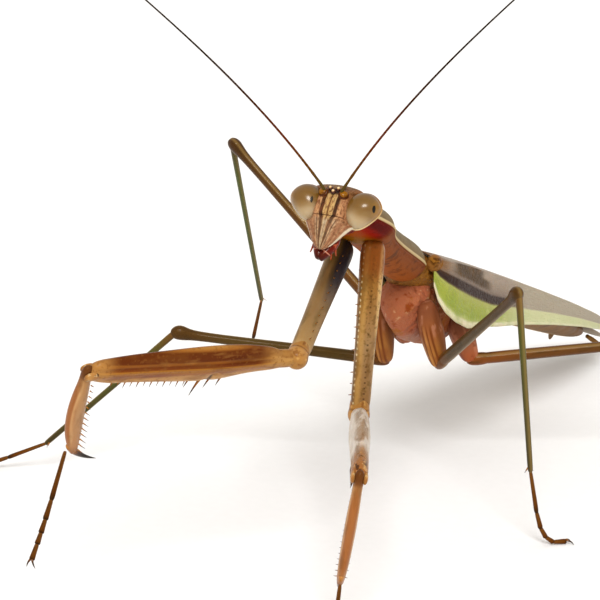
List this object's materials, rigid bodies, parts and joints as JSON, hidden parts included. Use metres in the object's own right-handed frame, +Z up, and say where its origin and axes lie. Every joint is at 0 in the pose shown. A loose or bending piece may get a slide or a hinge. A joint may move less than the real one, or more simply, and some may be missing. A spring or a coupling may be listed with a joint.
{
  "type": "praying mantis",
  "caption": "Life-size still model of a Chinese mantis, striped face raised and right foreleg stretched out, with a brown body, slender walking legs and green-edged folded wings.",
  "frame": {"origin": "the middle of the model's footprint, on the floor under its feet (the centre of its bounding box, at the bottom)", "axes": "+Z up; the mantis looks towards -Y with its folded wings and tail towards +Y; +X is the mantis's own left"},
  "size_m": [0.088, 0.111, 0.0594],
  "materials": {
    "head": "satin striped shell",
    "eye": "smooth, faintly glossy, with a dark false pupil",
    "antenna": "thin dark bristle",
    "mouthparts": "dark red, moist",
    "neck": "soft folded membrane",
    "prothorax": "satin shell",
    "thorax": "satin shell",
    "abdomen": "soft ringed shell",
    "cercus": "short bristle-like feeler",
    "tegmen": "leathery wing with fine veins and a green border",
    "hindwing": "thin folded wing",
    "coxa": "satin ridged shell",
    "femur": "satin shell",
    "tibia": "satin shell",
    "tarsus": "dark jointed foot"
  },
  "bodies": {
    "root": {"head": "head", "mouthparts": "mouthparts", "neck": "neck", "prothorax": "prothorax", "thorax": "thorax", "abdomen": "abdomen", "hindwings": "hindwing", "eye_left": "eye", "antenna_left": "antenna", "cercus_left": "cercus", "tegmen_left": "tegmen", "fore_coxa_left": "coxa", "fore_femur_left": "femur", "fore_tibia_left": "tibia", "fore_tarsus_left": "tarsus", "mid_coxa_left": "coxa", "mid_femur_left": "femur", "mid_tibia_left": "tibia", "mid_tarsus_left": "tarsus", "hind_coxa_left": "coxa", "hind_femur_left": "femur", "hind_tibia_left": "tibia", "hind_tarsus_left": "tarsus", "eye_right": "eye", "antenna_right": "antenna", "cercus_right": "cercus", "tegmen_right": "tegmen", "fore_coxa_right": "coxa", "fore_femur_right": "femur", "fore_tibia_right": "tibia", "fore_tarsus_right": "tarsus", "mid_coxa_right": "coxa", "mid_femur_right": "femur", "mid_tibia_right": "tibia", "mid_tarsus_right": "tarsus", "hind_coxa_right": "coxa", "hind_femur_right": "femur", "hind_tibia_right": "tibia", "hind_tarsus_right": "tarsus"}
  },
  "joints": []
}
